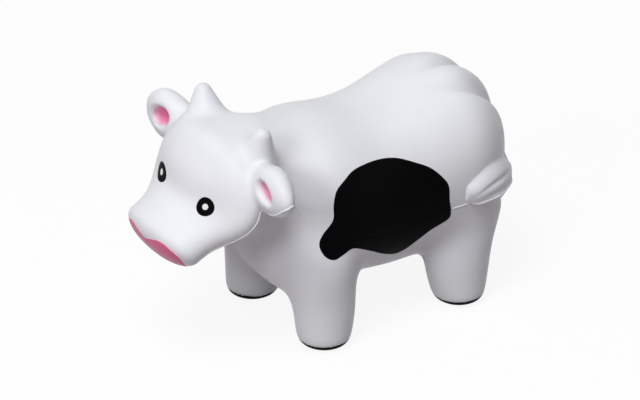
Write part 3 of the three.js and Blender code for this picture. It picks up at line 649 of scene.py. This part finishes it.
def ringed(rings, first, last):
    """Points and faces of a closed surface through rings, with a fan to one point at each end."""
    count, sides = rings.shape[:2]
    points = np.concatenate([rings.reshape(-1, 3), [first, last]])
    here = np.arange(count * sides).reshape(count, sides)
    near = np.roll(here, -1, 1)
    quads = np.stack([here[:-1], near[:-1], near[1:], here[1:]], -1).reshape(-1, 4)
    start = np.stack([np.full(sides, count * sides), near[0], here[0]], -1)
    end = np.stack([np.full(sides, count * sides + 1), here[-1], near[-1]], -1)
    fans = np.concatenate([quads[:, [0, 1, 2]], quads[:, [0, 2, 3]], start, end])
    a, b, c = points[fans].transpose(1, 0, 2)
    if (a * np.cross(b, c)).sum() < 0:
        quads, start, end = quads[:, ::-1], start[:, ::-1], end[:, ::-1]
    return points, quads.tolist() + start.tolist() + end.tolist()


skin = piece("skin", skin_points, skin_faces, foam_skin)
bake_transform(skin)
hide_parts(*FOAM_NODES)
print("skin stands for", len(FOAM_NODES), "nodes")

# %% [markdown]
# A print is a film of paint that follows the foam. Its outline is drawn flat, as the printing pad
# is, filled with rings from the middle to the rim, and pushed along the pad's stroke until it
# meets the skin. The rim goes down into the foam, so that the film is closed and has a crisp edge.

# %% Printed films
FILM_LIFT, FILM_SINK = 0.07, 0.2         # how far a film stands out and goes in


def loop(corners, count):
    """Smooth closed curve through corners: a Catmull-Rom spline, read at count even steps."""
    corners = np.asarray(corners, float)
    at = np.arange(count) * len(corners) / count
    i, u = at.astype(int), (at % 1)[:, None]
    p, q, r, s = (np.roll(corners, shift, 0)[i] for shift in (1, 0, -1, -2))
    return q + u / 2 * (r - p + u * (2 * p - 5 * q + 4 * r - s + u * (3 * (q - r) + s - p)))


def film(name, outline, middle, pad, stroke, material, rings, lift=FILM_LIFT):
    """Film of paint: rings (share s of the way from middle to outline) pushed onto the skin.

    The pad turns flat points into points in front of the skin, and stroke is the way it pushes."""
    shares = np.linspace(0, 1, rings + 1)[1:, None, None]
    flat = np.asarray(middle, float) + shares * (np.asarray(outline) - middle)
    sides = flat.shape[1]
    flat = np.concatenate([flat.reshape(-1, 2), [middle]])
    base = onto(pad(flat), np.asarray(stroke, float), rounds=8)
    out = unit(slope(base))
    raised, sunk = base + lift * out, base - FILM_SINK * out
    top, bottom = (side[:-1].reshape(rings, sides, 3) for side in (raised, sunk))
    rim = np.repeat(shares.ravel(), sides)
    points, faces = ringed(np.concatenate([top, bottom[::-1]]), raised[-1], sunk[-1])
    rim = np.concatenate([rim, rim[::-1], [0, 0]])
    return piece(name, points, faces, material, rim=rim)


print("a loop through a square:", loop([(1, 1), (-1, 1), (-1, -1), (1, -1)], 8).round(2).tolist())

# %% [markdown]
# Each flank has a black patch with a wavy lower edge, each eye a black ring with a white dot, and
# each ear a pink lining. The eyes in the photograph aren't a mirrored pair, so each has its own
# place, length and lean. A pad for one side is made by a function, so that left and right come
# from the same lines.

# %% Pads for both sides
PATCH = [
    (14.6, 34.0), (13.9, 38), (13.7, 42), (12.5, 44.6), (9, 48.4), (4.9, 50.7), (-1, 53.1),
    (-7.8, 54), (-14.9, 53.7), (-18.8, 52.1), (-21.9, 49.7), (-23.3, 46), (-23.6, 42),
    (-24.5, 39.8), (-26.3, 37), (-27.5, 33.9), (-26.7, 31.0), (-24.4, 29.7), (-21.4, 30.6),
    (-17.9, 31.5), (-12, 28.6), (-6.9, 25.6), (-2.3, 23.7), (0.8, 24.2), (4.3, 26.7), (8.5, 29.4),
    (13.9, 31.5)]
PATCH_MIDDLE, PATCH_STEPS, FLANK_X = (-6, 40), 208, 26.0
ACROSS = np.array([1, 0, 0])
# Place of each eye in the head: out from the middle, along the head's line and above it.
EYE_X, EYE_ALONG, EYE_RISE = {1: 12.0, -1: 10.5}, {1: 21.6, -1: 20.4}, 6.3
# How far the upright of each eye leans to the cow's left on its way down the face.
EYE_LEAN = {1: 0.6, -1: -0.25}
EYE_RADII, DOT_RADII, DOT_LIFT = {1: (3.08, 2.52), -1: (3.65, 2.55)}, (1.02, 0.84), 0.13
EYE_OUT, EYE_DOWN = np.radians(17), np.radians(16)    # how the eye's pad is turned
LINING_RADII, LINING_Y = {1: (3.9, 2.35), -1: (5.0, 3.0)}, -46.5
CIRCLE = [(np.cos(a), np.sin(a)) for a in np.linspace(0, 2 * np.pi, 24, endpoint=False)]
CIRCLE_STEPS = 72


def in_head(across, along, rise):
    """A place in the head: across to the left, along its line and above it."""
    return HEAD_BACK + np.multiply.outer(across, (1, 0, 0)) \
        + np.multiply.outer(along, HEAD_LINE) + np.multiply.outer(rise, HEAD_UP)


def oval(radii):
    """Outline of an oval of two radii."""
    return loop(np.array(CIRCLE) * radii, CIRCLE_STEPS)


def flank_pad(sign):
    """Pad beside a flank, whose flat points are places along the body and heights."""
    return lambda flat: np.stack([np.full(len(flat), sign * FLANK_X), flat[:, 0], flat[:, 1]], 1)


def eye_pad(sign):
    """Pad over an eye, square to the way it faces, and that way."""
    facing = unit(HEAD_UP + np.tan(EYE_OUT) * sign * ACROSS + np.tan(EYE_DOWN) * HEAD_LINE)
    right = unit(np.cross(HEAD_LINE + EYE_LEAN[sign] * ACROSS, facing))
    downward = np.cross(facing, right)
    socket = onto(in_head([sign * EYE_X[sign]], [EYE_ALONG[sign]], [EYE_RISE]))[0]
    return lambda flat: socket + flat[:, :1] * right + flat[:, 1:] * downward, facing


def cup_pad(sign):
    """Pad in front of an ear, tilted as its cup is."""
    def pad(flat):
        tilted = CUPS[sign][0] + flat @ CUP_TILT[::2, ::2].T
        return np.stack([sign * tilted[:, 0], np.full(len(flat), LINING_Y), tilted[:, 1]], 1)

    return pad


print("ways that the eyes face:", [eye_pad(sign)[1].round(2).tolist() for _, sign in SIDES])

# %% [markdown]
# One loop prints both sides. Eyes and linings ride on the head. The dot lies a little above its
# ring.

# %% Patches, eyes and ear linings
for side, sign in SIDES:
    outline = loop(PATCH, PATCH_STEPS)
    patch = film(
        f"flank_patch_{side}", outline, PATCH_MIDDLE, flank_pad(sign), ACROSS, black_paint,
        rings=34)
    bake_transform(patch)
    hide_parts(f"patch_{side}")

    pad, facing = eye_pad(sign)
    for name, radii, lift, paint in (
            ("eye_ring", EYE_RADII[sign], FILM_LIFT, black_paint),
            ("eye_dot", DOT_RADII, DOT_LIFT, white_paint)):
        print_out = film(
            f"{name}_paint_{side}", oval(radii), (0, 0), pad, facing, paint, rings=8, lift=lift)
        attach(print_out, "upper")
        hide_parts(f"{name}_{side}")

    lining = film(
        f"ear_pink_{side}", oval(LINING_RADII[sign]), (0, 0), cup_pad(sign), (0, 1, 0), ear_pink,
        rings=16)
    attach(lining, "upper")
    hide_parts(f"ear_lining_{side}")
print("films:", [o.name for o in bpy.data.objects if "rim" in getattr(o.data, "attributes", ())])

# %% [markdown]
# The muzzle is blown pink from the front, over the nose and the mouth. Its outline is drawn for one
# half and mirrored, and its pad stands across the head's line.

# %% Muzzle
MUZZLE_HALF = [
    (0, 4.2), (3.4, 5.1), (6.8, 5.5), (10, 4.5), (13.1, 1.4), (12.2, -3), (8, -6.6), (0, -7.6)]
MUZZLE = MUZZLE_HALF + [(-x, rise) for x, rise in MUZZLE_HALF[-2:0:-1]]
MUZZLE_MIDDLE, MUZZLE_STEPS, MUZZLE_ALONG = (0, -1), 168, 38.0


def muzzle_pad(flat):
    """Flat points held in front of the muzzle, across it and up it."""
    return in_head(flat[:, 0], np.full(len(flat), MUZZLE_ALONG), flat[:, 1])


outline = loop(MUZZLE, MUZZLE_STEPS)
muzzle = film(
    "muzzle_paint", outline, MUZZLE_MIDDLE, muzzle_pad, HEAD_LINE, muzzle_pink_painted_light, rings=26)
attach(muzzle, "upper")
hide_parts("muzzle_print")
print("muzzle print:", len(muzzle.data.vertices), "points")

# %% [markdown]
# Each foot has a black sole, which shows as a thin dark lip all round. The sole is the part of the
# foot below the level where the skin was cut: its underside is found by pushing a disc of rings
# straight up against the foam, and its top is flat.

# %% Soles
SOLE_SIDES, SOLE_RINGS = 72, 15
FOOT_GUESS, START_BELOW = 7.5, 0.5       # where the search for the edge and the underside begins

turn = np.linspace(0, 2 * np.pi, SOLE_SIDES, endpoint=False)
compass = np.stack([np.cos(turn), np.sin(turn), 0 * turn], 1)
shares = np.sin(np.linspace(0, np.pi / 2, SOLE_RINGS))[1:, None, None]
for leg_name in LEGS:
    low_corner, high_corner = (np.array(v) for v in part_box(f"sole_{leg_name}"))
    centre = ((low_corner + high_corner) / 2 - FEET)[:2] / MM
    hub = np.array([*centre, SOLE_TOP])
    edge = hub + FOOT_GUESS * compass
    for _ in range(8):
        reach = -foam(edge) / (slope(edge) * compass).sum(1)
        edge = edge + np.clip(reach, -1, 1)[:, None] * compass
    top = hub + shares * (edge - hub)
    under = (top * (1, 1, 0)).reshape(-1, 3) - (0, 0, START_BELOW)
    under = np.concatenate([under, [[*centre, -START_BELOW]]])
    under = onto(under, np.array([0, 0, 1.0]), rounds=8)
    under[:, 2] = np.clip(under[:, 2], 0, SOLE_TOP)
    rings = np.concatenate([under[:-1].reshape(top.shape)[:-1], top[::-1]])
    # A black sole, seen as a thin dark lip round the foot's lower edge.
    sole = piece(f"foot_black_{leg_name}", *ringed(rings, under[-1], hub), black_paint)
    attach(sole, "base")
    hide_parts(f"sole_{leg_name}")
print("sole lip (mm):", SOLE_TOP.round(2), "foot radius there:", (edge - hub)[:, 0].max().round(2))

# %% [markdown]
# The tail is moulded flat against the rump: a thin stalk comes round from behind and ends in a leaf
# of hair on the left hip. Its path is a spline pulled onto the skin, so the leaf hugs the hip
# however the body is shaped.

# %% Path of the tail
TAIL_PATH = [
    (0, 44.9, 44.0), (5, 44.6, 41.0), (10.5, 43.6, 38.5), (15.5, 41.6, 37.4), (19.3, 39, 37.7),
    (22.2, 35.6, 38.5), (24.4, 31.4, 39.0), (26.0, 27, 38.7), (26.8, 23.2, 37.6),
    (27.2, 19.8, 35.7)]
TAIL_STEPS = 120


def through(points, count):
    """Points at even steps of length along a cubic spline through the given ones."""
    points = np.asarray(points, float)
    length = np.concatenate([[0], np.cumsum(np.linalg.norm(np.diff(points, axis=0), axis=1))])
    at = np.linspace(0, length[-1], count)
    i = np.clip(np.searchsorted(length, at, side="right") - 1, 0, len(points) - 2)
    u = ((at - length[i]) / (length[i + 1] - length[i]))[:, None]
    tangent = np.gradient(points, length, axis=0)
    gap = (length[i + 1] - length[i])[:, None]
    return (1 + 2 * u) * (1 - u) ** 2 * points[i] + u * u * (3 - 2 * u) * points[i + 1] \
        + u * (1 - u) * gap * ((1 - u) * tangent[i] - u * tangent[i + 1])


path = onto(through(TAIL_PATH, TAIL_STEPS))
onward = unit(np.gradient(path, axis=0))
tail_out = unit(slope(path))
sideways = unit(np.cross(onward, tail_out))
print("tail length (mm):", np.linalg.norm(np.diff(path, axis=0), axis=1).sum().round(1))

# %% [markdown]
# Along the path goes a section that starts as a thin stalk and broadens into the leaf. The leaf is
# thicker at its lower edge and has two grooves combed along it, which give it the look of hair.

# %% Tail
# Half width and height of the section, by the share of the way along the tail.
TAIL_HALF_WIDTH = [
    (0, 1.4), (0.38, 1.6), (0.46, 2.6), (0.54, 4.5), (0.62, 5.5), (0.72, 6.0), (0.82, 5.8),
    (0.91, 4.8), (0.97, 3.1), (1, 1.2)]
TAIL_HEIGHT = [
    (0, 1.3), (0.38, 1.6), (0.5, 2.6), (0.62, 2.7), (0.75, 3.0), (0.87, 2.6), (0.95, 1.6), (1, 0.3)]
TAIL_SIDES, TAIL_SINK = 96, 0.9
TUFT_START, TUFT_GROWTH, TUFT_END = 0.44, 0.12, 0.28  # shares of the tail's length
TUFT_LOWER = 0.5                                      # how much thicker the lower edge is
GROOVES = ((0.14, 1), (-0.36, 0.7))                   # place across the leaf and strength
GROOVE_WIDTH, GROOVE_DEPTH, GROOVE_START, GROOVE_GROWTH = 0.11, 0.6, 0.55, 0.14

share = np.linspace(0, 1, TAIL_STEPS)
turn = np.linspace(0, 2 * np.pi, TAIL_SIDES, endpoint=False)
across, height = np.cos(turn), np.sin(turn)
tuft = ease((share - TUFT_START) / TUFT_GROWTH)[:, None] * ease((1 - share) / TUFT_END)[:, None]
comb = sum(strength * bell(across - place, GROOVE_WIDTH) for place, strength in GROOVES)
comb = comb * (height > 0) * ease((share - GROOVE_START) / GROOVE_GROWTH)[:, None]
half_width = spline(TAIL_HALF_WIDTH, share)[:, None]
thick = spline(TAIL_HEIGHT, share)[:, None]
# The power makes the section hollow towards its upper edge and full towards its lower one.
bulge = np.abs(height) ** (0.9 + 0.4 * across + 2.2 * np.maximum(across, 0) ** 2)
bulge = bulge * (1 - TUFT_LOWER * tuft * across)
rise = np.where(height > 0, thick * bulge, TAIL_SINK * height) - GROOVE_DEPTH * tuft * comb
shift = (half_width * across)[..., None]
laid = onto((path[:, None] + shift * sideways[:, None]).reshape(-1, 3))
tail_rings = (laid + rise.reshape(-1, 1) * unit(slope(laid))).reshape(TAIL_STEPS, TAIL_SIDES, 3)
tail = piece("tail_tuft", *ringed(tail_rings, path[0], path[-1]), foam_skin)
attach(tail, "upper")
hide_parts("tail")
print("tuft stands out by (mm):", rise.max().round(2))

# %% [markdown]
# A fine raised line runs along the lower side of the leaf, as the mould left it. It is a thin
# thread of skin that follows one point of every ring of the tail.

# %% Line along the tuft
LINE_RUN, LINE_POINT = slice(60, 117), 34             # rings of the tail, and the point of each
LINE_RADIUS, LINE_DROOP = 0.34, 1.2
THREAD_SIDES = 8


def threaded(line, out, radius):
    """Rings round a line: radius times (cosine aside plus sine outwards), all the way round."""
    aside = np.cross(unit(np.gradient(line, axis=0)), out)
    turn = np.linspace(0, 2 * np.pi, THREAD_SIDES, endpoint=False)[:, None]
    return line[:, None] + radius * (np.cos(turn) * aside[:, None] + np.sin(turn) * out[:, None])


low_edge = tail_rings[LINE_RUN, LINE_POINT]
low_out = unit(tail_out[LINE_RUN] - LINE_DROOP * sideways[LINE_RUN])
low_thread = threaded(low_edge, low_out, LINE_RADIUS)
tail_line = piece("tail_line", *ringed(low_thread, *low_edge[[0, -1]]), foam_skin)
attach(tail_line, "upper")
print("line along the tuft:", len(low_edge), "steps")

# %% [markdown]
# The mould had an upper and a lower half, and a fine raised line is left where they met. It runs
# level round the body, climbs over the shoulder to the back of the ear, follows the ear's lower rim
# and drops along the jaw to the muzzle. It is a thin bead carried along that path on the skin. It
# dips under the paint of the flank, where a black bead takes its place, and under the muzzle.

# %% Path of the parting line
SEAM_HALF = [
    (0, -67.5, 33.5), (8, -66.5, 34.3), (13.5, -64, 35.8), (15, -60, 38.2), (17.1, -56, 40.7),
    (18.9, -54, 42.1), (20.6, -52, 44.2), (21.9, -50, 46.2), (22.8, -48.4, 48.0),
    (23.6, -47.4, 50.2), (26, -47.5, 51.2), (30.3, -47.9, 53.1), (33.5, -48, 55.1),
    (35.7, -47.4, 57.0), (36.6, -45.4, 58.0), (33, -42.2, 54.6), (27, -39.6, 51.6),
    (21.5, -36.6, 48.6), (19.6, -33.4, 45.0), (20.6, -31.4, 41.8), (22.2, -29.4, 38.4),
    (24.6, -27.2, 34.8), (26.6, -22, 33.8), (26.4, -15, 33.4), (25.4, -6, 32.2), (25.4, 3, 32.4),
    (26.6, 13, 34.4), (26.8, 21, 34.6), (25.2, 29, 34.4), (20, 36.4, 34.4), (11, 41, 34.6),
    (0, 42.4, 34.8)]
SEAM = SEAM_HALF + [(-x, y, z) for x, y, z in SEAM_HALF[-2:0:-1]]
SEAM_STEPS, SEAM_ROUNDS = 1200, 6
SEAM_RADIUS, NECK_LOSS, JAW_GAIN = 0.22, 0.5, 0.4     # fainter on the neck, stronger on the jaw
NECK_START, NECK_END, NECK_FADE = -43, -25, 3
JAW_START, JAW_FADE = -44, 2

line = onto(loop(SEAM, SEAM_STEPS))
for _ in range(SEAM_ROUNDS):
    line = onto((np.roll(line, 1, 0) + 2 * line + np.roll(line, -1, 0)) / 4, rounds=2)
seam_out = unit(slope(line))
x, y, _ = line.T
on_neck = ease((y - NECK_START) / NECK_FADE) * ease((NECK_END - y) / NECK_FADE)
on_jaw = ease((JAW_START - y) / JAW_FADE)
radius = SEAM_RADIUS * (1 - NECK_LOSS * on_neck + JAW_GAIN * on_jaw)[:, None, None]
bead = threaded(line, seam_out, radius)
print("parting line (mm):", np.linalg.norm(line - np.roll(line, 1, 0), axis=1).sum().round())

# %% [markdown]
# The bead is closed into a ring round the whole toy. Where it is painted over it is pulled into the
# foam, and a stretch of its own in black lies on the patch.

# %% Parting line
FLANK_FROM = 15                          # how far out a painted stretch lies
MOUTH_HALF, FACE_FROM = 15.6, -50        # the stretch under the muzzle's paint
SEAM_SINK, SINK_ROUNDS = 0.6, 4


def within(outline, flat):
    """Whether flat points lie inside a closed outline.

    A ray from a point inside crosses the outline an odd number of times."""
    a, b = outline, np.roll(outline, -1, 0)
    crosses = (a[:, 1] > flat[:, None, 1]) != (b[:, 1] > flat[:, None, 1])
    share = (flat[:, None, 1] - a[:, 1]) / np.where(a[:, 1] == b[:, 1], 1, b[:, 1] - a[:, 1])
    return (crosses & (flat[:, None, 0] < a[:, 0] + share * (b[:, 0] - a[:, 0]))).sum(1) % 2 == 1


painted = within(loop(PATCH, PATCH_STEPS), line[:, 1:]) & (np.abs(x) > FLANK_FROM)
hidden = np.maximum(painted, ease(MOUTH_HALF - np.abs(x)) * (y < FACE_FROM))
for _ in range(SINK_ROUNDS):
    hidden = (np.roll(hidden, 1) + hidden + np.roll(hidden, -1)) / 3
sunk = bead - SEAM_SINK * hidden[:, None, None] * seam_out[:, None]
here = np.arange(SEAM_STEPS * THREAD_SIDES).reshape(SEAM_STEPS, THREAD_SIDES)
ahead = np.roll(here, -1, 0)
bead_faces = np.stack([here, np.roll(here, -1, 1), np.roll(ahead, -1, 1), ahead], -1).reshape(-1, 4)
a, b, c = bead.reshape(-1, 3)[bead_faces[:, :3]].transpose(1, 0, 2)
if ((a - line.repeat(THREAD_SIDES, 0)) * np.cross(b - a, c - a)).sum() < 0:
    bead_faces = bead_faces[:, ::-1]
beads = [(piece("parting_line", sunk.reshape(-1, 3), bead_faces, foam_skin), "foam_skin")]
for side, sign in SIDES:
    run = painted & (x * sign > 0)
    stretch = ringed(bead[run], *line[run][[0, -1]])
    beads.append((piece(f"patch_line_{side}", *stretch, black_paint), "black_paint"))
for bead_piece, paint in beads:
    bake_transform(bead_piece)
print("beads:", [bead_piece.name for bead_piece, _ in beads])

# %% [markdown]
# The toy stands on a plain white sweep. The floor and the sky look white to the camera and in
# reflections, but send back only a little light, so the belly and the backs of the legs fall into
# soft grey as they do in the photograph.

# %% Sky and floor
SKY, FLOOR_BOUNCE, FLOOR_SHADOW = 0.31, (0.31, 0.275, 0.285, 1), 0.1
WHITE, FLOOR_HALF = (1, 1, 1, 1), 8


def seen_directly(material):
    """One for rays from the camera or by way of gloss and glass, and nought for the rest."""
    path = node(material, "LightPath")
    total = path.outputs["Is Camera Ray"]
    for name in ("Is Glossy Ray", "Is Transmission Ray"):
        add = node(material, "Math")
        add.operation, add.use_clamp = "ADD", True
        link(material, total, add.inputs[0])
        link(material, path.outputs[name], add.inputs[1])
        total = add.outputs[0]
    return total


world = bpy.context.scene.world or bpy.data.worlds.new("world")
bpy.context.scene.world = world
world.use_nodes = True
backdrop = world.node_tree.nodes["Background"]
backdrop.inputs["Color"].default_value = WHITE
link(world, spread(world, seen_directly(world), SKY, 1, 0, 1), backdrop.inputs["Strength"])

sweep = bpy.data.materials.new("sweep")
sweep.use_nodes = True
sweep.node_tree.nodes.remove(sweep.node_tree.nodes["Principled BSDF"])
output = sweep.node_tree.nodes["Material Output"]
grey = node(sweep, "BsdfDiffuse", Color=FLOOR_BOUNCE)
white, glow = (node(sweep, kind, Color=WHITE) for kind in ("BsdfDiffuse", "Emission"))
shown, chosen = node(sweep, "MixShader", Fac=FLOOR_SHADOW), node(sweep, "MixShader")
link(sweep, glow.outputs[0], shown.inputs[1])
link(sweep, white.outputs[0], shown.inputs[2])
link(sweep, seen_directly(sweep), chosen.inputs[0])
link(sweep, grey.outputs[0], chosen.inputs[1])
link(sweep, shown.outputs[0], chosen.inputs[2])
link(sweep, chosen.outputs[0], output.inputs["Surface"])

floor_mesh = bpy.data.meshes.new("floor")
floor_corners = [
    (i * FLOOR_HALF, j * FLOOR_HALF, 0) for i, j in ((-1, -1), (1, -1), (1, 1), (-1, 1))]
floor_mesh.from_pydata(floor_corners, [], [(0, 1, 2, 3)])
floor_mesh.materials.append(sweep)
floor = bpy.data.objects.new("floor", floor_mesh)
bpy.context.scene.collection.objects.link(floor)
print("floor:", 2 * FLOOR_HALF, "m square")

# %% [markdown]
# One large soft lamp stands high in front of the toy and a little to its left, and a weaker one low
# in front reaches the chest and the legs. Both are discs turned to the point that the camera looks
# at, so their soft edges give the foam its slow shading.

# %% Lamps
LAMPS = {   # degrees round from the front to the left, degrees up, watts, metres across
    "high_lamp": (30, 64, 8.1, 0.6),
    "low_lamp": (24, 28, 3.1, 0.35)}
LAMP_REACH = 1.2

for name, (azimuth, elevation, watts, size) in LAMPS.items():
    lamp = bpy.data.objects.new(name, bpy.data.lights.new(name, "AREA"))
    lamp.data.shape, lamp.data.size, lamp.data.energy = "DISK", size, watts
    turn, tip = np.radians(azimuth), np.radians(elevation)
    lamp_way = Vector((np.sin(turn) * np.cos(tip), -np.cos(turn) * np.cos(tip), np.sin(tip)))
    lamp.location = Vector(to_frame(AIM)) + lamp_way * LAMP_REACH
    lamp.rotation_mode = "QUATERNION"
    lamp.rotation_quaternion = lamp_way.to_track_quat("Z", "Y")
    bpy.context.scene.collection.objects.link(lamp)
bpy.context.scene.view_settings.view_transform = "Standard"
print("lamps:", list(LAMPS))
